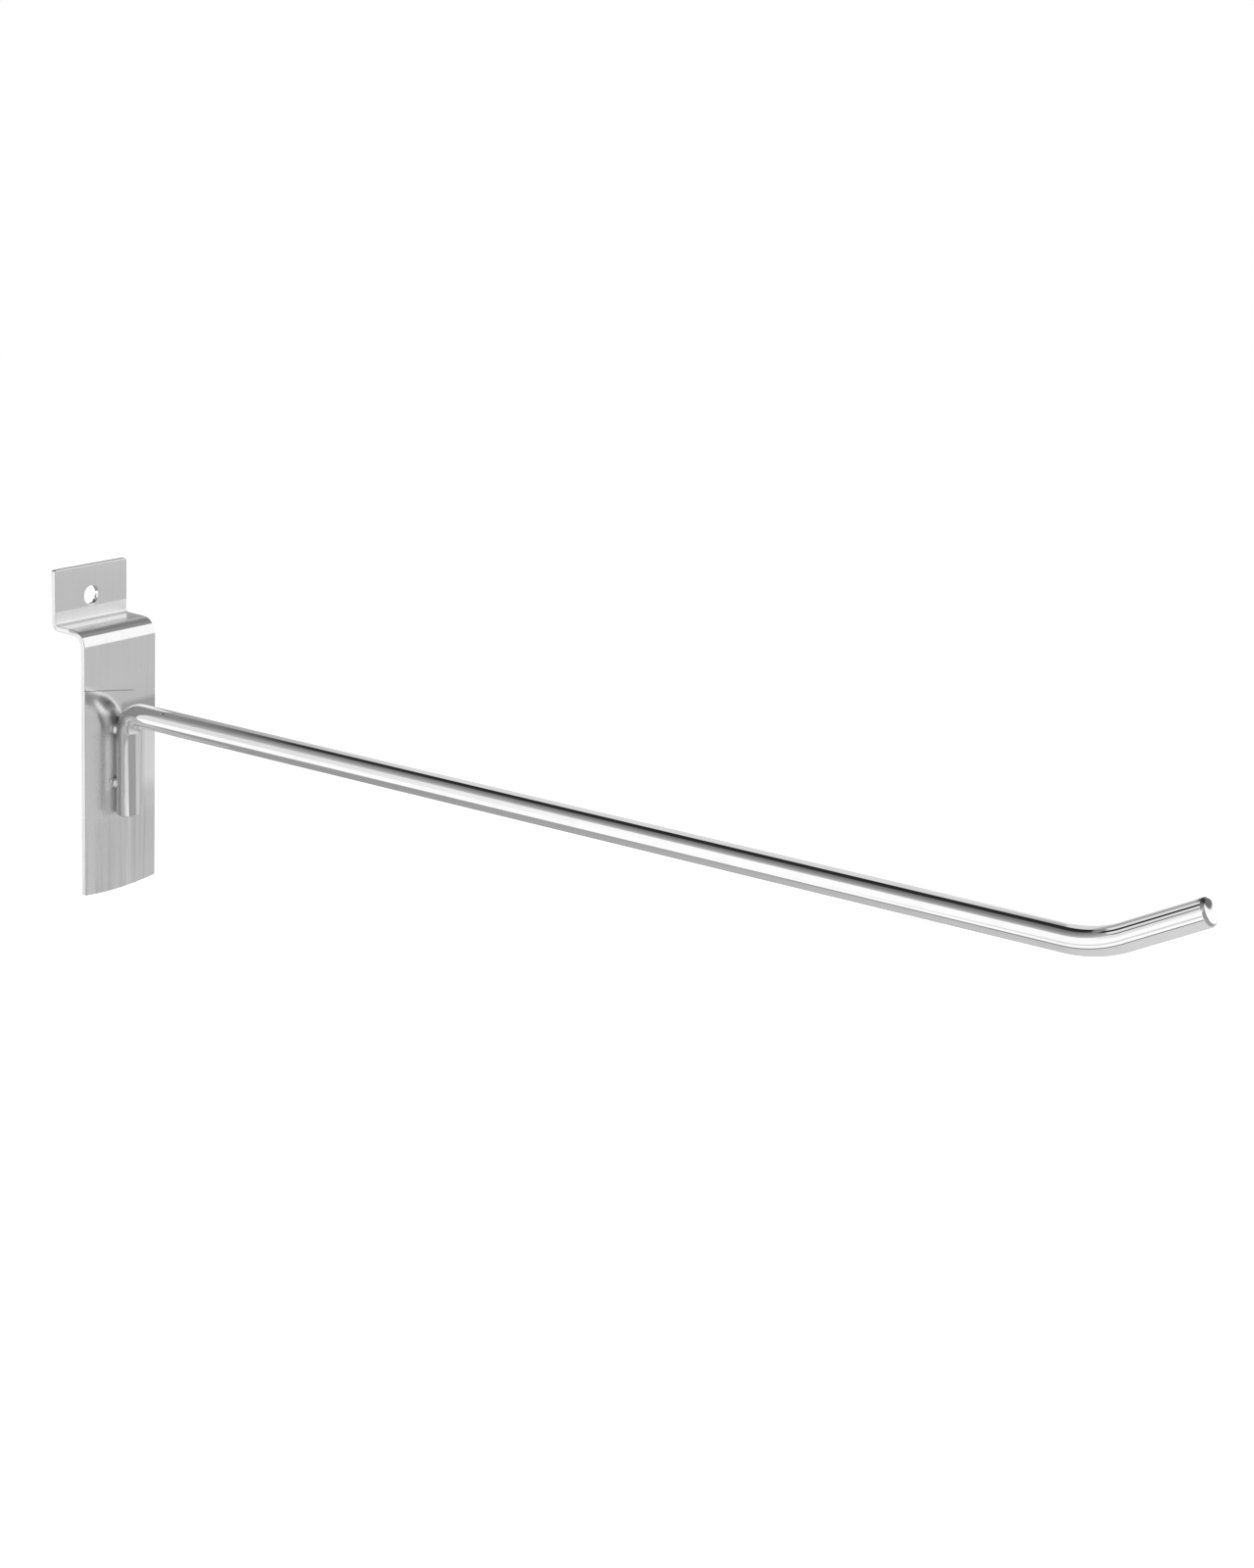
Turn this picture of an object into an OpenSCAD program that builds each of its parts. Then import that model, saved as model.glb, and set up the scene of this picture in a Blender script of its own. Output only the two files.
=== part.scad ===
// Single-wire display hook for a slatted wall panel.
// A round wire is bent up from a short leg, runs out as a long arm and turns up at the tip.
// The leg is welded to a bent strip whose shelf and tab reach in behind a slat.
// Millimetres. X is across the strip, the arm runs out along -Y and +Z is up.
// The origin is on the strip's back face, on its centre line, at the height of the arm's root.

/* [Wire] */
// Diameter of the round wire
wire_d = 6.35; // [4:0.05:8]
// Reach from the strip's front face to the middle of the arm's end
reach = 304.8; // [150:0.1:400]
// How far the arm climbs above level, degrees
arm_tilt = 1.5; // [0:0.1:6]
// Centre line radius of the bend between leg and arm
root_bend_r = 5.5; // [5:0.1:13]
// Height from the leg's cut end up to the arm's root
leg_h = 28; // [20:0.1:38]
// Length of the turned-up tip, from where its line meets the arm's line
tip_len = 26.6; // [18:0.1:40]
// How far the tip turns up from the arm, degrees
tip_turn = 28.2; // [10:0.1:45]
// Centre line radius of the tip's bend
tip_bend_r = 28; // [12:0.1:36]
// How much the bends lose in radius where bending stretches the wire
bend_thinning = 0.02; // [0.01:0.005:0.05]
// Chamfer round the cut end of the tip
tip_chamfer = 0.6; // [0.2:0.05:1.2]
// Chamfer round the cut end of the leg
leg_chamfer = 0.3; // [0.1:0.05:0.8]

/* [Strip] */
// Width of the strip, plate and tab alike
strip_w = 25.4; // [20:0.1:40]
// Thickness of the sheet
sheet_t = 1.5; // [1:0.05:2.5]
// Inside radius of the fold between plate and shelf
fold_r = 2.8; // [1:0.05:3.2]
// Inside radius of the tighter fold between shelf and tab
tab_fold_r = 0.8; // [0.6:0.05:2.4]
// Drop from the arm's root to the plate's lower corners
plate_drop = 48.7; // [42:0.1:80]
// How far the lower edge swells below its corners
edge_bow = 0.8; // [0.2:0.05:2]
// Height of the shelf's top above the arm's root
shelf_h = 23.1; // [20:0.1:32]
// Step from the plate's front face back to the tab's front face
tab_step = 10.8; // [8:0.1:16]
// Height of the tab above the shelf's top
tab_h = 14.6; // [11:0.1:24]
// Radius of the strip's four outer corners
corner_r = 0.6; // [0.4:0.05:2]
// Diameter of the round hole in the tab
tab_hole_d = 5; // [3:0.05:6]
// Height of the hole's middle above the shelf's top
tab_hole_h = 6.4; // [5.5:0.05:8]

/* [Weld] */
// How far the wire is pressed flat where it meets the plate
set_down = 0.3; // [0.1:0.05:0.6]
// Length of each bead along the leg
bead_len = 3; // [2.6:0.1:5]
// Radius of the bead's rounded back
bead_r = 1.15; // [1:0.05:1.4]
// From the leg's cut end up to the middle of the lower bead
bead_low = 8.6; // [4.6:0.1:9]
// Between the middles of the lower bead and the upper one, which sits in the crook of the bend
bead_gap = 14.8; // [10:0.1:15]

/* [Hidden] */
$fn = 96;

steel = [0.72, 0.72, 0.73];
bright_wire = [0.80, 0.80, 0.81];
weld_metal = [0.60, 0.60, 0.60];
over = 1; // cutters run past what they cut by this much
run_lap = 0.1; // how far a straight run's full round reaches back over the bend before it

wire_r = wire_d / 2;
plate_front = -sheet_t;
leg_y = plate_front - wire_r + set_down; // the leg's axis, a little sunk by the welding
tab_front = plate_front + tab_step;
tab_top = shelf_h + tab_h;

// Wire, measured along its centre line
root_turn = 90 - arm_tilt;
root_tangent = root_bend_r * tan(root_turn / 2);
tip_tangent = tip_bend_r * tan(tip_turn / 2);
tip_rise = arm_tilt + tip_turn;
arm_to_corner = (reach - wire_r + set_down - tip_len * cos(tip_rise)) / cos(arm_tilt);
leg_run = leg_h - root_tangent;
arm_run = arm_to_corner - root_tangent - tip_tangent;
tip_run = tip_len - tip_tangent;

// A straight run of wire; what follows starts at its end
module wire_run(run) {
    cylinder(h = run, r = wire_r);
    translate([0, 0, run]) children();
}

// A bend of the wire towards -Y; what follows starts at its end
// The full round of the next run reaches a little way back over the thinner bend
module wire_bend(bend_r, turn) {
    translate([0, -bend_r, 0]) {
        rotate([90, 0, 90])
            rotate_extrude(angle = turn)
                translate([bend_r, 0]) circle(r = wire_r - bend_thinning);
        rotate([turn, 0, 0]) translate([0, bend_r, 0]) {
            translate([0, 0, -run_lap]) cylinder(h = run_lap, r = wire_r);
            children();
        }
    }
}

// The last run of wire, with its cut edge broken
module wire_end(run, chamfer) {
    cylinder(h = run - chamfer, r = wire_r);
    translate([0, 0, run - chamfer]) cylinder(h = chamfer, r1 = wire_r, r2 = wire_r - chamfer);
}

module hook_wire() {
    color(bright_wire)
    difference() {
        translate([0, leg_y, -leg_h]) {
            cylinder(h = leg_chamfer, r1 = wire_r - leg_chamfer, r2 = wire_r);
            translate([0, 0, leg_chamfer])
                wire_run(leg_run - leg_chamfer)
                wire_bend(root_bend_r, root_turn)
                wire_run(arm_run)
                mirror([0, 1, 0]) wire_bend(tip_bend_r, tip_turn)
                wire_end(tip_run, tip_chamfer);
        }
        translate([-wire_d, plate_front, -leg_h - over])
            cube([2 * wire_d, wire_d, leg_h + wire_d + over]);
    }
}

// Quarter of a fold's section, from the +X side towards the +Y side
module fold_section(inside_r) {
    intersection() {
        difference() {
            circle(r = inside_r + sheet_t);
            circle(r = inside_r);
        }
        square(inside_r + sheet_t + over);
    }
}

// The strip's side view: its X is the distance behind the plate's back face
module strip_section() {
    fold_h = shelf_h - fold_r - sheet_t;
    translate([-sheet_t, -plate_drop - edge_bow]) square([sheet_t, plate_drop + edge_bow + fold_h]);
    translate([fold_r, fold_h]) mirror([1, 0]) fold_section(fold_r);
    translate([fold_r, shelf_h - sheet_t]) square([tab_front - fold_r - tab_fold_r, sheet_t]);
    translate([tab_front - tab_fold_r, shelf_h + tab_fold_r]) mirror([0, 1]) fold_section(tab_fold_r);
    translate([tab_front, shelf_h + tab_fold_r]) square([sheet_t, tab_h - tab_fold_r]);
}

// What a rounded corner takes away, at the corner with its sides along -X and -Z
module corner_cut() {
    difference() {
        translate([-corner_r, -over, -corner_r])
            cube([corner_r + over, tab_step + sheet_t + 2 * over, corner_r + over]);
        translate([-corner_r, -2 * over, -corner_r])
            rotate([-90, 0, 0]) cylinder(h = tab_step + sheet_t + 4 * over, r = corner_r);
    }
}

module back_plate() {
    bow_r = (pow(strip_w / 2, 2) + pow(edge_bow, 2)) / (2 * edge_bow);
    color(steel)
    difference() {
        translate([-strip_w / 2, 0, 0]) rotate([90, 0, 90]) linear_extrude(strip_w) strip_section();
        // the lower edge is a shallow arc
        translate([0, -sheet_t - over, -plate_drop])
            rotate([-90, 0, 0])
                difference() {
                    translate([-strip_w, 0, 0]) cube([2 * strip_w, 2 * edge_bow, sheet_t + 2 * over]);
                    translate([0, edge_bow - bow_r, -over]) cylinder(h = sheet_t + 4 * over, r = bow_r, $fn = 360);
                }
        for (side = [0, 1]) mirror([side, 0, 0]) {
            translate([strip_w / 2, plate_front, tab_top]) corner_cut();
            translate([strip_w / 2, plate_front, -plate_drop]) mirror([0, 0, 1]) corner_cut();
        }
        translate([0, tab_front - over, shelf_h + tab_hole_h])
            rotate([-90, 0, 0]) cylinder(h = sheet_t + 2 * over, d = tab_hole_d);
    }
}

// One bead in the groove between wire and plate, rounded at both ends and shaped by both
module weld_bead(bead_z) {
    groove_x = sqrt(pow(wire_r, 2) - pow(wire_r - set_down - bead_r / 2, 2));
    difference() {
        translate([groove_x, plate_front - bead_r / 2, bead_z]) {
            translate([0, 0, -bead_len / 2 + bead_r]) cylinder(h = bead_len - 2 * bead_r, r = bead_r);
            for (end = [-1, 1]) translate([0, 0, end * (bead_len / 2 - bead_r)]) sphere(r = bead_r);
        }
        hook_wire();
        translate([-wire_d, plate_front, bead_z - bead_len]) cube([2 * wire_d, wire_d, 2 * bead_len]);
    }
}

module weld_beads() {
    color(weld_metal)
    for (side = [0, 1], step = [0, 1])
        mirror([side, 0, 0]) weld_bead(-leg_h + bead_low + step * bead_gap);
}

back_plate();
hook_wire();
weld_beads();
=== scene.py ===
import math
import bmesh
import bpy
from mathutils import Matrix, Vector, noise


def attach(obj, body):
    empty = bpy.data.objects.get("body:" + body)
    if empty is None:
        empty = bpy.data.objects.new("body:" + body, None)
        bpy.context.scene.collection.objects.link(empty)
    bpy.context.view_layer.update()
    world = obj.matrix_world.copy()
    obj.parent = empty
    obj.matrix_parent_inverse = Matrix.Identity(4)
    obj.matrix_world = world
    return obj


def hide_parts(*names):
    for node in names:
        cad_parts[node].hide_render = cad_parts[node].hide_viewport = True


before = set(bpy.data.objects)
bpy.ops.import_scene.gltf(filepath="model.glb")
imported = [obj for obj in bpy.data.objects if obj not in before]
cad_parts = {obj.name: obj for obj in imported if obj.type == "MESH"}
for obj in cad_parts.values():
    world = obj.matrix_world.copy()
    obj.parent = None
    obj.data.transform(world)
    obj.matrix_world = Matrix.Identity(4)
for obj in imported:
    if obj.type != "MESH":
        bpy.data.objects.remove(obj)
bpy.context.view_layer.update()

print("frame loaded:", sorted(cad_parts))


# One link in a shader. Python's operators add Math nodes; make() adds any other node.
class Link:
    def __init__(self, tree, socket=None):
        self.tree = tree
        self.socket = socket

    def make(self, kind, settings=None, sockets=None, outlet=0):
        node = self.tree.nodes.new(kind)
        for name, value in (settings or {}).items():
            if name == "stops":
                ramp = node.color_ramp
                while len(ramp.elements) < len(value):
                    ramp.elements.new(0.5)
                for element, (place, colour) in zip(ramp.elements, value):
                    element.position = place
                    element.color = colour if isinstance(colour, tuple) else (colour, colour, colour, 1)
            else:
                setattr(node, name, value)
        for name, value in (sockets or {}).items():
            if isinstance(value, Link):
                self.tree.links.new(value.socket, node.inputs[name])
            else:
                node.inputs[name].default_value = value
        return Link(self.tree, node.outputs[outlet] if len(node.outputs) else None)

    def maths(self, operation, first, second=0.0, clamp=False):
        return self.make("ShaderNodeMath", {"operation": operation, "use_clamp": clamp}, {0: first, 1: second})

    def __add__(self, other):
        return self.maths("ADD", self, other)

    def __radd__(self, other):
        return self.maths("ADD", other, self)

    def __sub__(self, other):
        return self.maths("SUBTRACT", self, other)

    def __rsub__(self, other):
        return self.maths("SUBTRACT", other, self)

    def __mul__(self, other):
        return self.maths("MULTIPLY", self, other)

    def __rmul__(self, other):
        return self.maths("MULTIPLY", other, self)

    def __truediv__(self, other):
        return self.maths("DIVIDE", self, other)

    def over(self, low, high):  # 0 below low, 1 above high, smooth between
        return self.make("ShaderNodeMapRange", {"interpolation_type": "SMOOTHSTEP"},
                         {"Value": self, "From Min": low, "From Max": high})

    def size(self):
        return self.maths("ABSOLUTE", self)

    def axis(self, name):
        return self.make("ShaderNodeSeparateXYZ", None, {0: self}, name)

    def stretched(self, scale):  # for a vector link
        return self.make("ShaderNodeVectorMath", {"operation": "MULTIPLY"}, {0: self, 1: scale})

    def grain(self, scale, detail=2.0, rough=0.5):
        return self.make("ShaderNodeTexNoise", None,
                         {"Vector": self, "Scale": scale, "Detail": detail, "Roughness": rough}, "Fac")

    def tint(self, low, high):  # a value from 0 to 1 becomes a colour between two others
        return self.make("ShaderNodeMix", {"data_type": "RGBA"}, {"Factor": self, "A": low, "B": high}, "Result")


def grey(level, warm=0.0):
    return (level + warm, level, level - warm, 1.0)


def newMaterial(name):
    material = bpy.data.materials.new(name)
    material.use_nodes = True
    material.node_tree.nodes.clear()
    return material, Link(material.node_tree)


def metal(tree, colour, roughness, height, depth):
    bump = tree.make("ShaderNodeBump", None, {"Height": height, "Distance": depth, "Strength": 1.0})
    shader = tree.make("ShaderNodeBsdfPrincipled", None,
                       {"Base Color": colour, "Metallic": 1.0, "Roughness": roughness, "Normal": bump})
    tree.make("ShaderNodeOutputMaterial", None, {"Surface": shader})


# Bright plating over drawn wire: faint die lines along the wire, a slow ripple and a few dull specks.
def platedWire():
    look = {"bright": grey(0.88), "dull": grey(0.80), "grooveShade": grey(0.46), "mark": grey(0.10), "sheen": 0.035, "haze": 0.07,
            "dullHaze": 0.22, "lines": 0.0000006, "ripple": 0.000012}
    material, tree = newMaterial("platedWire")
    place = tree.make("ShaderNodeTexCoord", None, None, "Object")
    lines = place.stretched((3200, 40, 3200)).grain(1.0, 3.0)
    ripple = place.stretched((120, 28, 120)).grain(1.0, 1.0)
    cloud = place.grain(160.0, 3.0)
    specks = place.grain(2600.0, 1.0).over(0.74, 0.80)
    dull = cloud.over(0.45, 0.75) * 0.5 + specks * 0.5
    height = lines * (look["lines"] / look["ripple"]) + ripple
    # painted shade in the weld groove, on the side of the leg that faces the plate, where the plating is also rougher
    y, z = place.axis("Y") + (cloud - 0.5) * 0.0005, place.axis("Z")
    crook = z.over(-0.009, -0.005)
    grooveShade = (y + crook * 0.0008).over(-0.0062, -0.0056) * (1 - y.over(-0.0044, -0.0038) * (1 - crook))
    grooveShade = grooveShade * z.over(-0.0285, -0.0275) * (1 - z.over(-0.0022, 0.0002))
    # and the plating is darker and rougher at the top of the tip's cut end
    tip, lean = wirePath()[-1]
    middle = tip + Vector((0, math.cos(lean), math.sin(lean))) * wire["diameter"] * 0.36
    away = tree.make("ShaderNodeVectorMath", {"operation": "DISTANCE"}, {0: place, 1: middle}, "Value")
    mark = 1 - (away + (cloud - 0.5) * 0.0016).over(0.0013, 0.0023)
    colour = grooveShade.tint(dull.tint(look["bright"], look["dull"]), look["grooveShade"])
    colour = mark.tint(colour, look["mark"])
    rough = dull * look["haze"] + look["sheen"] + (grooveShade + mark) * look["dullHaze"]
    metal(tree, colour, rough, height, look["ripple"])
    return material


# Bright plating over rolled sheet: upright streaks, mostly low down, a gentle waviness, a dull cut edge, painted shade
# along the weld, low down, beside the leg and along the fold, a painted dark reflected line above the arm and a painted
# pale reflection streak below the leg.
def platedSheet(strip):
    look = {"bright": grey(0.85), "streak": grey(0.58), "sheen": 0.07, "rub": 0.08, "blur": 0.12, "matt": 0.4, "haze": 0.16, "edgeHaze": 0.22,
            "lines": 0.0000015, "wave": 0.000016, "grooveShade": grey(0.68), "paintedPale": grey(1.0),
            "low": grey(0.72), "shade": grey(0.54), "paintedDarkLine": grey(0.45), "dim": grey(0.56), "dullHaze": 0.2}
    material, tree = newMaterial("platedSheet")
    place = tree.make("ShaderNodeTexCoord", None, None, "Object")
    streaks = place.stretched((900, 900, 26)).grain(1.0, 3.0)
    fine = place.stretched((5200, 5200, 90)).grain(1.0, 2.0)
    cloud = place.grain(110.0, 3.0)
    wave = place.stretched((95, 95, 60)).grain(1.0, 1.0)
    x, z = place.axis("X"), place.axis("Z")
    edge = x.size().over(strip["width"] / 2 - 0.0003, strip["width"] / 2 - 0.0001)
    low = 1 - z.over(-0.036, -0.020)
    dull = streaks.over(0.45, 0.70) * (low * 0.50 + 0.06) + cloud.over(0.5, 0.8) * 0.08 + fine.over(0.5, 0.8) * (low * 0.2)
    # the painted groove shade and the painted dark line are on the plate's front only
    front = 1 - place.axis("Y").over(-0.0014, -0.0012)
    ragged = (cloud - 0.5) * 0.0016
    grooveShade = (1 - (x.size() + ragged).over(0.0024, 0.0042)) * z.over(-0.030, -0.026) * (1 - z.over(-0.007, -0.002)) * front
    grooveShade = grooveShade * (z + 0.0195).size().over(0.0010, 0.0014)
    # painted shade below the leg's end
    foot = (1 - (x + 0.0042 + ragged).size().over(0.0020, 0.0026)) * z.over(-0.0285, -0.0279) * (1 - z.over(-0.0215, -0.0209))
    grooveShade = grooveShade + (1 - grooveShade) * foot * front * 0.5
    # a painted dark reflected line above the arm
    line = z + x * 0.155 - 0.0056 + (streaks - 0.5) * 0.0003
    paintedDarkLine = (1 - line.size().over(0.00008, 0.00022)) * (1 - x.over(0.003, 0.006)) * front
    # painted pale reflections: a streak below the leg and a patch right of the leg
    paintedPale = (1 - (x - 0.0028).size().over(0.0003, 0.0009)) * (1 - z.over(-0.030, -0.028)) * front * 0.5
    beside = x.over(0.0060, 0.0095) * z.over(-0.025, -0.019) * (1 - z.over(-0.0080, -0.0045)) * front
    paintedPale = paintedPale + (1 - paintedPale) * beside
    # painted shade: the plate darker low down, and darkest right beside the leg and under the arm's root
    lowShade = (1 - z.over(0.002, 0.010)) * 0.4 + (1 - z.over(-0.031, -0.027)) * x.over(-0.0105, -0.0085) * 0.5
    lowShade = lowShade * front
    near = (1 - x.over(0.0048, 0.0095)) * z.over(-0.0290, -0.0262) * (1 - z.over(-0.0065, -0.0035))
    under = z.over(-0.0065, -0.0035) * (1 - z.over(0.0010, 0.0030))
    shade = (near + under) * x.over(-0.0005, 0.0010) * front
    # a painted dark reflection along the outer fold, where the plating is also rougher
    stretched = z.over(0.0220, 0.0226) * (1 - z.over(0.0232, 0.0234)) * (1 - place.axis("Y").over(0.0038, 0.0048))
    rough = dull * look["haze"] + look["sheen"] + edge * look["edgeHaze"] + grooveShade * look["dullHaze"]
    rough = rough + (1 - z.over(0.006, 0.014)) * look["rub"] + stretched * look["dullHaze"]
    rough = rough + (1 - z.over(-0.006, -0.002)) * (1 - x.over(-0.004, -0.001)) * front * look["blur"]
    # a matt band at the foot of the tab, its colour lightened as a painted pale reflection
    mattAndPaintedPaleBand = (1 - z.over(0.0264, 0.0268)) * place.axis("Y").over(0.0086, 0.0090) * (1 - place.axis("Y").over(0.0096, 0.0100))
    rough = rough + mattAndPaintedPaleBand * look["matt"]
    paintedPale = paintedPale + mattAndPaintedPaleBand
    height = wave + (streaks * 0.5 + fine * 0.5) * (look["lines"] / look["wave"])
    colour = paintedPale.tint(lowShade.tint(look["bright"], look["low"]), look["paintedPale"])
    colour = shade.tint(dull.tint(colour, look["streak"]), look["shade"])
    colour = stretched.tint(colour, look["dim"])
    colour = paintedDarkLine.tint(grooveShade.tint(colour, look["grooveShade"]), look["paintedDarkLine"])
    metal(tree, colour, rough, height, look["wave"])
    return material


# Plated weld metal: small ripples and a duller, pitted skin.
def platedWeld():
    look = {"bright": grey(0.78), "pit": grey(0.55), "sheen": 0.16, "haze": 0.25, "ripple": 0.00006}
    material, tree = newMaterial("platedWeld")
    place = tree.make("ShaderNodeTexCoord", None, None, "Object")
    ripple = place.stretched((400, 400, 1300)).grain(1.0, 2.0)
    pits = place.grain(2400.0, 2.0).over(0.55, 0.75)
    metal(tree, pits.tint(look["bright"], look["pit"]), pits * look["haze"] + look["sheen"],
          ripple - pits * 0.3, look["ripple"])
    return material


def newPiece(name, build, material, node, smooth=True):
    mesh = bpy.data.meshes.new(name)
    bmesh.ops.recalc_face_normals(build, faces=build.faces)
    if build.calc_volume(signed=True) < 0:  # a folded sheet can come out inside out
        bmesh.ops.reverse_faces(build, faces=build.faces)
    build.normal_update()
    build.to_mesh(mesh)
    build.free()
    for face in mesh.polygons:
        face.use_smooth = smooth
    piece = bpy.data.objects.new(name, mesh)
    bpy.context.scene.collection.objects.link(piece)
    mesh.materials.append(material)
    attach(piece, "root")
    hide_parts(node)
    return piece


# Joins two rings of points, given as lists of the same length, with a band of faces.
def band(build, first, second):
    count = len(first)
    for i in range(count):
        j = (i + 1) % count
        build.faces.new((first[i], first[j], second[j], second[i]))


wire = {"diameter": 0.00635, "reach": 0.3048, "tilt": 1.5, "rootBend": 0.0055, "legHeight": 0.028,
        "tipLength": 0.0266, "tipTurn": 28.2, "tipBend": 0.028, "tipChamfer": 0.0006, "legChamfer": 0.0003,
        "setDown": 0.0003, "around": 96, "bendStep": 1.5, "runStep": 0.004}
strip = {"width": 0.0254, "sheet": 0.0015, "fold": 0.0028, "tabFold": 0.0008, "drop": 0.0487, "bow": 0.00078, "shelf": 0.0231,
         "step": 0.0108, "tab": 0.0146, "corner": 0.0006, "hole": 0.005, "holeHeight": 0.0064,
         "edge": 0.0002, "foldSlices": 24}
plateFront = -strip["sheet"]
legAxis = plateFront - wire["diameter"] / 2 + wire["setDown"]


# The wire's centre line, as points with their directions, from the leg's end to the tip's end.
def wirePath():
    tilt, turn = math.radians(wire["tilt"]), math.radians(wire["tipTurn"])
    rootTurn = math.pi / 2 - tilt
    rootTangent = wire["rootBend"] * math.tan(rootTurn / 2)
    tipTangent = wire["tipBend"] * math.tan(turn / 2)
    out = wire["reach"] - wire["diameter"] / 2 + wire["setDown"]
    toCorner = (out - wire["tipLength"] * math.cos(tilt + turn)) / math.cos(tilt)
    steps = [("run", wire["legHeight"] - rootTangent), ("bend", wire["rootBend"], rootTurn),
             ("run", toCorner - rootTangent - tipTangent), ("bend", wire["tipBend"], -turn),
             ("run", wire["tipLength"] - tipTangent)]
    at, lean = Vector((0, legAxis, -wire["legHeight"])), 0.0  # lean is the angle from upright towards -Y
    points = []
    for step in steps:
        if step[0] == "run":
            heading = Vector((0, -math.sin(lean), math.cos(lean)))
            count = max(2, round(step[1] / wire["runStep"]))
            points += [(at + heading * step[1] * i / count, lean) for i in range(count + 1)]
            at = at + heading * step[1]
        else:
            radius, angle = step[1], step[2]
            side = 1 if angle > 0 else -1
            centre = at + Vector((0, -math.cos(lean), -math.sin(lean))) * radius * side
            count = math.ceil(abs(math.degrees(angle)) / wire["bendStep"])
            for i in range(1, count):
                now = lean + angle * i / count
                points.append((centre + Vector((0, math.cos(now), math.sin(now))) * radius * side, now))
            lean += angle
            at = centre + Vector((0, math.cos(lean), math.sin(lean))) * radius * side
    return points


def makeWire(material):
    radius = wire["diameter"] / 2
    build = bmesh.new()

    def ring(at, lean, size):
        corners = []
        for i in range(wire["around"]):
            angle = 2 * math.pi * i / wire["around"]
            across = Vector((math.cos(angle), 0, 0))
            outward = Vector((0, -math.cos(lean), -math.sin(lean))) * math.sin(angle)
            point = at + (across + outward) * size
            point.y = min(point.y, plateFront)  # the weld flat lies on the plate
            corners.append(build.verts.new(point))
        return corners

    # How far back from the cut end, and how much smaller, each ring of a chamfered end is.
    def endRings(chamfer):
        ease = chamfer * 0.18
        shape = [(chamfer + ease, 0.0), (chamfer + ease * 0.3, ease * 0.1), (chamfer - ease * 0.4, ease * 0.5),
                 (ease * 0.9, chamfer - ease), (ease * 0.3, chamfer - ease * 0.2), (0.0, chamfer + ease)]
        return shape + [(0.0, radius * share) for share in (0.45, 0.75)]

    path = wirePath()
    leg, tip = path[0], path[-1]
    tipHeading = Vector((0, -math.sin(tip[1]), math.cos(tip[1])))
    rings = [ring(leg[0] + Vector((0, 0, back)), 0.0, radius - less)
             for back, less in reversed(endRings(wire["legChamfer"]))]
    rings += [ring(at, lean, radius) for at, lean in path[1:-1]]
    rings += [ring(tip[0] - tipHeading * back, tip[1], radius - less) for back, less in endRings(wire["tipChamfer"])]
    for first, second in zip(rings, rings[1:]):
        band(build, second, first)
    build.faces.new(rings[0])
    build.faces.new(list(reversed(rings[-1])))
    piece = newPiece("hookWire", build, material, "hook_wire")
    piece.modifiers.new("evenNormals", "WEIGHTED_NORMAL").keep_sharp = True
    return piece


# The strip laid flat: across is X, along runs from the plate's lower edge to the tab's top.
def stripLengths():
    foldOut = strip["fold"] + strip["sheet"]
    first, second = ((strip[name] + strip["sheet"] / 2) * math.pi / 2 for name in ("fold", "tabFold"))
    tabFront = plateFront + strip["step"]
    runs = {"plate": strip["drop"] + strip["shelf"] - foldOut, "first": first,
            "shelf": tabFront - strip["fold"] - strip["tabFold"], "second": second,
            "tab": strip["tab"] - strip["tabFold"]}
    ends, total = {}, 0.0
    for name, length in runs.items():
        ends[name] = (total, total + length)
        total += length
    return ends, total


# Where a point of the flat strip goes when it is folded. depth is 0 on the front face.
def folded(across, along, depth, ends):
    foldOut, tabFront = strip["fold"] + strip["sheet"], plateFront + strip["step"]
    if along <= ends["plate"][1]:
        return Vector((across, plateFront + depth, along - strip["drop"]))
    if along <= ends["first"][1]:
        share = (along - ends["first"][0]) / (ends["first"][1] - ends["first"][0])
        angle, radius = share * math.pi / 2, foldOut - depth
        centre = Vector((across, strip["fold"], strip["shelf"] - foldOut))
        return centre + Vector((0, -math.cos(angle), math.sin(angle))) * radius
    if along <= ends["shelf"][1]:
        return Vector((across, strip["fold"] + along - ends["shelf"][0], strip["shelf"] - depth))
    if along <= ends["second"][1]:
        share = (along - ends["second"][0]) / (ends["second"][1] - ends["second"][0])
        angle, radius = share * math.pi / 2, strip["tabFold"] + depth
        centre = Vector((across, tabFront - strip["tabFold"], strip["shelf"] + strip["tabFold"]))
        return centre + Vector((0, math.sin(angle), -math.cos(angle))) * radius
    return Vector((across, tabFront + depth, strip["shelf"] + strip["tabFold"] + along - ends["second"][1]))


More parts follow.
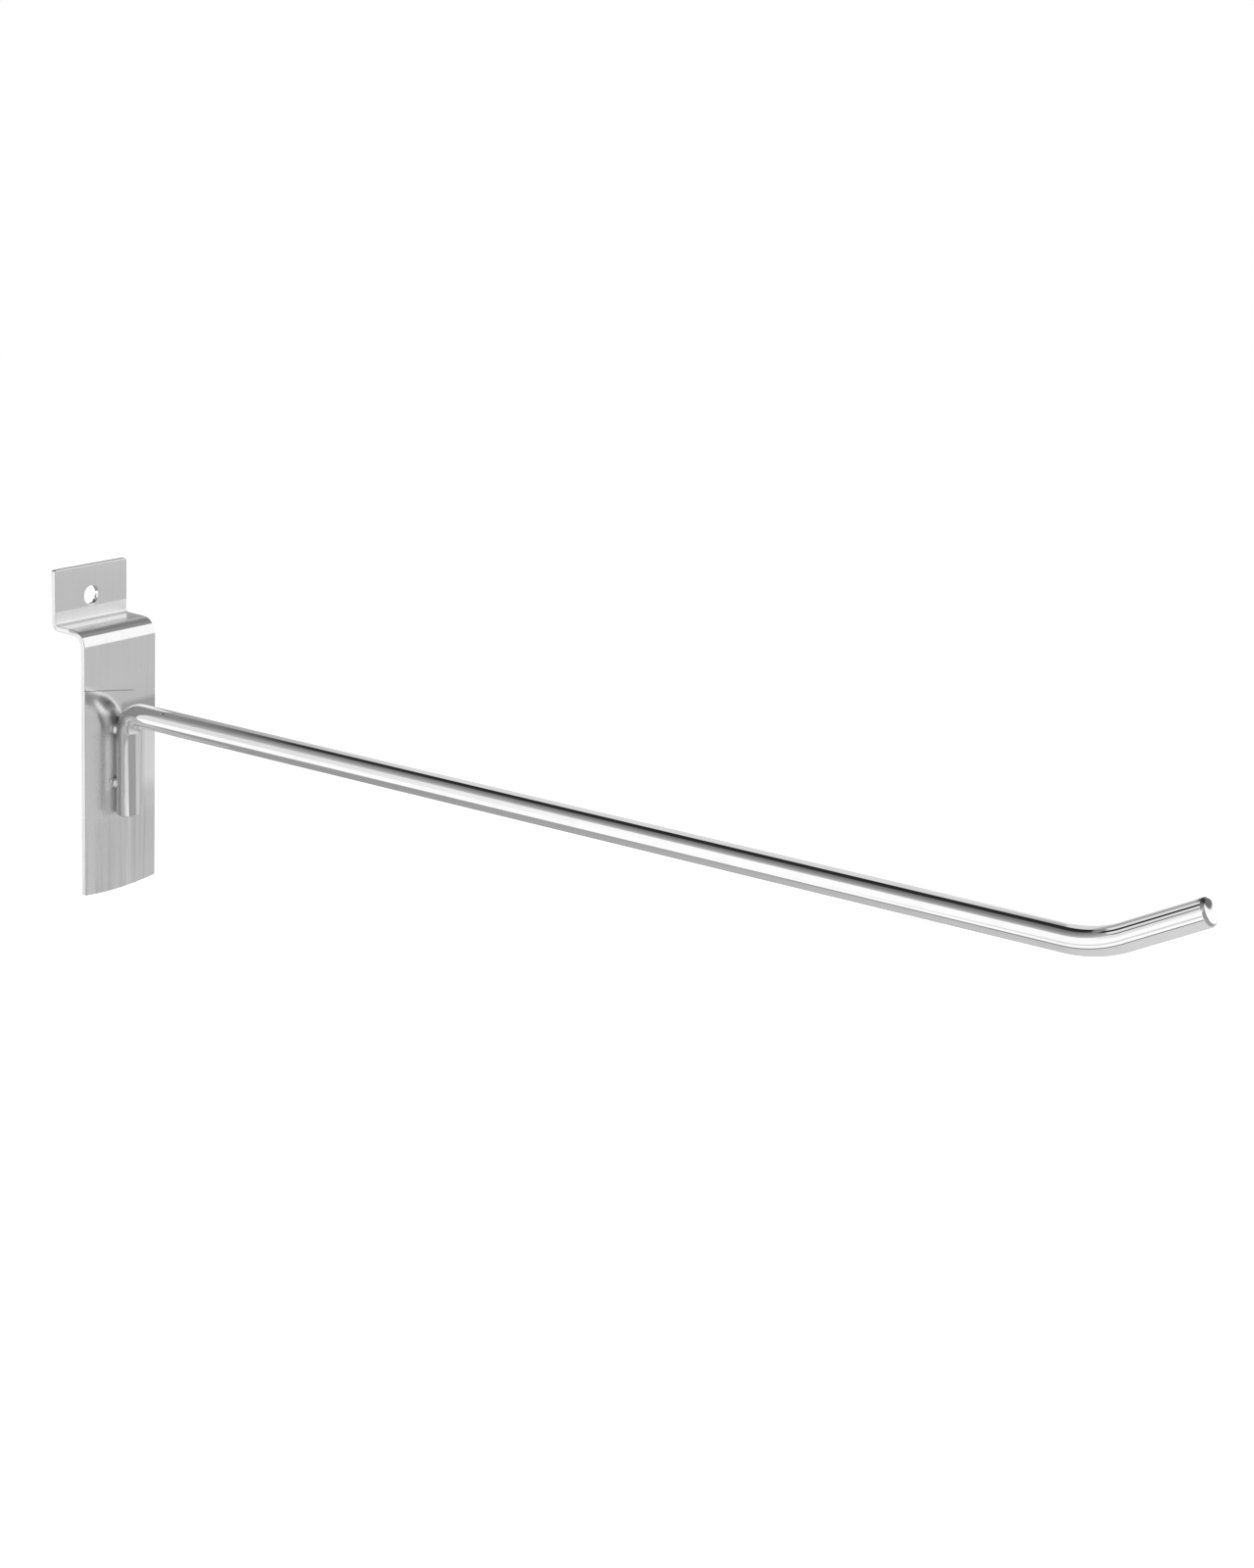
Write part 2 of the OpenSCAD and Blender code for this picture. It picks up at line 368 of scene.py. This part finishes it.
# Closed outlines of the flat strip as (across, along, normal angle), the outer one and the hole.
def stripOutlines(ends, total):
    half, corner = strip["width"] / 2, strip["corner"]
    bowRadius = (half ** 2 + strip["bow"] ** 2) / (2 * strip["bow"])
    bowAngle = math.asin((half - corner * 0.5) / bowRadius)
    outer = []
    for i in range(33):  # the bowed lower edge, left to right
        angle = -bowAngle + 2 * bowAngle * i / 32
        outer.append((bowRadius * math.sin(angle), bowRadius - strip["bow"] - bowRadius * math.cos(angle),
                      angle - math.pi / 2))

    def cornerArc(across, along, start):
        for i in range(9):
            angle = start + math.pi / 2 * i / 8
            outer.append((across + corner * math.cos(angle), along + corner * math.sin(angle), angle))

    lift = corner * 0.9
    for i in range(1, 6):
        angle = -math.pi / 2 + bowAngle + (math.pi / 2 - bowAngle) * i / 5
        outer.append((half - corner * 0.5 + corner * 0.5 * math.cos(angle), lift * 0.5 + lift * 0.5 * math.sin(angle),
                      angle))
    cornerArc(half - corner, total - corner, 0.0)
    cornerArc(-half + corner, total - corner, math.pi / 2)
    for i in range(5):
        angle = math.pi + (math.pi / 2 - bowAngle) * i / 5
        outer.append((-half + corner * 0.5 + corner * 0.5 * math.cos(angle), lift * 0.5 + lift * 0.5 * math.sin(angle),
                      angle))
    middle = ends["second"][1] + strip["holeHeight"] - strip["tabFold"]
    hole = []
    for i in range(64):
        angle = -2 * math.pi * i / 64
        hole.append((strip["hole"] / 2 * math.cos(angle), middle + strip["hole"] / 2 * math.sin(angle),
                     angle + math.pi))
    return outer, hole


def makePlate(material):
    ends, total = stripLengths()
    build = bmesh.new()
    edge, sheet = strip["edge"], strip["sheet"]
    # inset from the outline and depth below the front face, round the broken edges; the first is on the flat
    section = [(edge * 1.8, 0.0)]
    section += [(edge * (1 - math.sin(a)), edge * (1 - math.cos(a))) for a in (math.pi / 2 * i / 4 for i in range(5))]
    section += [(inset, sheet - depth) for inset, depth in reversed(section)]
    rims = []
    for outline in stripOutlines(ends, total):
        rings = [[build.verts.new((x - inset * math.cos(a), s - inset * math.sin(a), depth)) for x, s, a in outline]
                 for inset, depth in section]
        for first, second in zip(rings, rings[1:]):
            band(build, first, second)
        rims.append((rings[0], rings[-1]))
    for side in (0, 1):
        edges = []
        for rim in rims:
            ring = rim[side]
            edges += [build.edges.get((ring[i], ring[(i + 1) % len(ring)])) for i in range(len(ring))]
        bmesh.ops.triangle_fill(build, edges=edges, use_beauty=True)
    cuts = []
    for name in ("first", "second"):
        low, high = ends[name]
        cuts += [low + (high - low) * i / strip["foldSlices"] for i in range(strip["foldSlices"] + 1)]
    for along in cuts:
        bmesh.ops.bisect_plane(build, geom=build.verts[:] + build.edges[:] + build.faces[:],
                               plane_co=(0, along, 0), plane_no=(0, 1, 0), dist=1e-7)
    for vert in build.verts:
        vert.co = folded(vert.co.x, vert.co.y, vert.co.z, ends)
    piece = newPiece("backPlate", build, material, "back_plate")
    piece.modifiers.new("evenNormals", "WEIGHTED_NORMAL").keep_sharp = True
    return piece


weld = {"length": 0.003, "radius": 0.00115, "low": 0.0086, "gap": 0.0148, "lump": 0.06,
        "along": 20, "around": 28, "sink": 0.00002}


# How far back from the tangent line of a bend the wire's axis has moved at a height above the bend's start.
def bendAway(height):
    height = min(max(height, 0.0), wire["rootBend"])
    return wire["rootBend"] - math.sqrt(wire["rootBend"] ** 2 - height ** 2)


# Four short beads in the groove between leg and plate, the upper two in the crook of the bend.
def makeWelds(material):
    radius = wire["diameter"] / 2
    legRun = wire["legHeight"] - wire["rootBend"] * math.tan(math.radians(90 - wire["tilt"]) / 2)
    lift = weld["radius"] / 2
    middleX = math.sqrt(radius ** 2 - (plateFront - lift - legAxis) ** 2)
    straight = weld["length"] / 2 - weld["radius"]
    build = bmesh.new()
    for side in (-1, 1):
        for step in (0, 1):
            foot = weld["low"] + step * weld["gap"]
            rings = []
            for i in range(weld["along"] + 1):
                turn = math.pi * (i / weld["along"] - 0.5)
                height = foot + weld["radius"] * math.sin(turn) + straight * (2 * i / weld["along"] - 1)
                full = weld["radius"] * max(math.cos(turn), 0.04)
                axis = legAxis - bendAway(height - legRun)
                ring = []
                for j in range(weld["around"]):
                    angle = 2 * math.pi * j / weld["around"]
                    seed = Vector((math.cos(angle) + side * 3, math.sin(angle) + step * 5, height * 2200))
                    size = full * (1 - weld["lump"] * (0.5 + noise.noise(seed)))
                    x, y = middleX + size * math.cos(angle), plateFront - lift - size * math.sin(angle)
                    y = min(y, plateFront)
                    reach = math.hypot(x, y - axis)
                    hold = radius - weld["sink"]
                    if reach < hold:  # what would lie inside the wire lies just under its skin
                        x, y = x * hold / reach, axis + (y - axis) * hold / reach
                    ring.append(build.verts.new((side * x, min(y, plateFront), height - wire["legHeight"])))
                rings.append(ring)
            for first, second in zip(rings, rings[1:]):
                band(build, first, second)
            build.faces.new(rings[0])
            build.faces.new(list(reversed(rings[-1])))
    return newPiece("weldBeads", build, material, "weld_beads")


makeWire(platedWire())
print("wire made")
makePlate(platedSheet(strip))
print("plate made")
makeWelds(platedWeld())
print("welds made")


studio = {"floor": -0.30, "floorSize": 3.0, "glow": 0.62, "lamp": 14.0,
          "white": 1.12, "side": 0.76, "seam": 0.44, "behind": 0.36, "near": 0.74, "far": 0.59, "rim": 0.67, "ahead": 0.38,
          "wallBehind": 0.84, "front": 0.34, "aside": 0.31, "grey": (0.50, 0.22), "dark": 0.025, "card": 0.78,
          "overhead": (0.0, 0.259, 0.966), "darkest": (0.17, 0.45, 0.877)}


# The floor. The eye sees it white, and plated metal sees a painted glow on it, pale on one side and grey on the other,
# with a dark seam between.
def makeFloor():
    material, tree = newMaterial("paleFloor")
    rays = tree.make("ShaderNodeLightPath", None, None, "Is Camera Ray")
    shine = tree.make("ShaderNodeLightPath", None, None, "Is Glossy Ray")
    place = tree.make("ShaderNodeTexCoord", None, None, "Object")
    x, y = place.axis("X"), place.axis("Y")
    away = place.make("ShaderNodeVectorMath", {"operation": "LENGTH"}, {0: place}, "Value")
    ground = studio["near"] - y.over(-0.18, 0.34) * (studio["near"] - studio["behind"])
    ground = ground + away.over(0.5, 1.1) * (studio["far"] - ground)
    ground = ground + away.over(1.35, 1.6) * (studio["rim"] - ground)
    ahead = (1 - y.over(-0.55, -0.3)) * (1 - (x + 0.1).size().over(0.5, 0.75))
    ground = ground + ahead * (studio["ahead"] - ground)
    aside = (1 - x.over(-0.75, -0.55)) * (1 - y.over(0.26, 0.40))
    lit = studio["white"] - aside * (studio["white"] - studio["side"])
    lit = lit + (1 - y.over(-0.60, -0.45)) * x.over(-1.05, -0.95) * (studio["ahead"] - lit)
    edge = x + 0.12 - y.over(-0.22, 0.02) * 0.12
    left = 1 - edge.over(-0.34, -0.29)
    seam = edge.over(-0.32, -0.29) * (1 - edge.over(-0.26, -0.21)) * (1 - away.over(0.6, 0.9))
    seen = ground + left * (lit - ground)
    seen = seen + seam * (0.14 + y.over(-0.1, 0.3) * (studio["seam"] - 0.14) - seen)
    paint = tree.make("ShaderNodeBsdfDiffuse", None, {"Color": grey(0.8)})
    glow = tree.make("ShaderNodeEmission", None, {"Color": rays.tint(grey(0.0), grey(studio["glow"])), "Strength": 1.0})
    both = tree.make("ShaderNodeAddShader", None, {0: paint, 1: glow})
    # the factor of a Mix node stops at 1, so it goes up to twice white
    seen = (seen * 0.5).tint(grey(0.0), grey(2.0))
    mirrored = tree.make("ShaderNodeEmission", None, {"Color": seen, "Strength": 1.0})
    surface = tree.make("ShaderNodeMixShader", None, {"Fac": shine, 1: both, 2: mirrored})
    tree.make("ShaderNodeOutputMaterial", None, {"Surface": surface})
    build = bmesh.new()
    bmesh.ops.create_circle(build, cap_ends=True, segments=96, radius=studio["floorSize"])
    mesh = bpy.data.meshes.new("floor")
    build.to_mesh(mesh)
    build.free()
    mesh.materials.append(material)
    floor = bpy.data.objects.new("floor", mesh)
    floor.location = (0, -0.15, studio["floor"])
    bpy.context.scene.collection.objects.link(floor)


# The studio all round: white walls, a ceiling that darkens overhead, a dim front and a pale card on the right.
def makeStudio():
    world = bpy.data.worlds.new("studio")
    bpy.context.scene.world = world
    world.use_nodes = True
    world.node_tree.nodes.clear()
    tree = Link(world.node_tree)
    way = tree.make("ShaderNodeTexCoord", None, None, "Generated")
    eye = tree.make("ShaderNodeLightPath", None, None, "Is Camera Ray")
    x, y, z = way.axis("X"), way.axis("Y"), way.axis("Z")
    above = tree.make("ShaderNodeVectorMath", {"operation": "DOT_PRODUCT"}, {0: way, 1: studio["overhead"]}, "Value")
    middle = tree.make("ShaderNodeVectorMath", {"operation": "DOT_PRODUCT"}, {0: way, 1: studio["darkest"]}, "Value")
    room = studio["white"] - y.over(0.52, 0.68) * (studio["white"] - studio["wallBehind"])
    front = (1 - y.over(-0.60, -0.45)) * (1 - x.over(0.25, 0.45))
    room = room + front * (studio["front"] - room)
    ceiling = studio["grey"][0] - above.over(0.58, 0.93) * (studio["grey"][0] - studio["grey"][1])
    back = y.over(0.70, 0.79) * 0.25
    room = room + (above - back).over(0.52, 0.62) * (1 - front) * (ceiling - room)
    aside = x.over(0.45, 0.60) * (1 - y.over(0.20, 0.34)) * above.over(0.50, 0.58)
    room = room + aside * (studio["aside"] - room)
    black = studio["dark"] + y.over(0.665, 0.705) * 0.235
    room = room + middle.over(0.88, 0.965) * (black - room)
    line = (1 - (x + 0.13).size().over(0.08, 0.17)) * y.over(0.66, 0.74) * (1 - z.over(0.63, 0.69))
    room = room + line * (studio["dark"] - room)
    line = (1 - (x + 0.55).size().over(0.03, 0.08)) * y.over(0.705, 0.725)
    room = room + line * (0.2 - room)
    card = x.over(0.27, 0.35) * y.over(0.36, 0.46)
    pale = studio["card"] - y.over(0.62, 0.70) * 0.36
    light = room + card * (pale - room)
    level = eye + (1 - eye) * light
    shade = tree.make("ShaderNodeBackground", None, {"Color": grey(1.0), "Strength": level})
    tree.make("ShaderNodeOutputWorld", None, {"Surface": shade})


def makeLamp():
    lamp = bpy.data.lights.new("overhead", "AREA")
    lamp.energy = studio["lamp"]
    lamp.size = 1.4
    holder = bpy.data.objects.new("overhead", lamp)
    holder.location = (-0.3, -0.35, 1.3)
    holder.rotation_euler = (Vector((0, -0.15, 0)) - holder.location).to_track_quat("-Z", "Y").to_euler()
    holder.visible_glossy = False
    bpy.context.scene.collection.objects.link(holder)


camera = {"around": -55.635, "above": 16.663, "roll": 3.384, "away": 0.59217, "aim": (0, -0.15, 0),
          "shiftRight": 0.01304, "shiftUp": 0.01185, "lens": 58.369}


def makeCamera():
    around, above, roll = (math.radians(camera[name]) for name in ("around", "above", "roll"))
    back = Vector((math.sin(around) * math.cos(above), -math.cos(around) * math.cos(above), math.sin(above)))
    level = Vector((math.cos(around), math.sin(around), 0))
    right = level * math.cos(roll) + back.cross(level) * math.sin(roll)
    up = back.cross(right)
    data = bpy.data.cameras.new("camera")
    data.lens = camera["lens"]
    data.clip_start, data.clip_end = 0.01, 20
    holder = bpy.data.objects.new("camera", data)
    at = Vector(camera["aim"]) + right * camera["shiftRight"] + up * camera["shiftUp"] + back * camera["away"]
    holder.matrix_world = Matrix.Translation(at) @ Matrix((right, up, back)).transposed().to_4x4()
    bpy.context.scene.collection.objects.link(holder)
    bpy.context.scene.camera = holder


makeFloor()
makeStudio()
makeLamp()
makeCamera()
bpy.context.scene.view_settings.view_transform = "Standard"
print("studio and camera set")
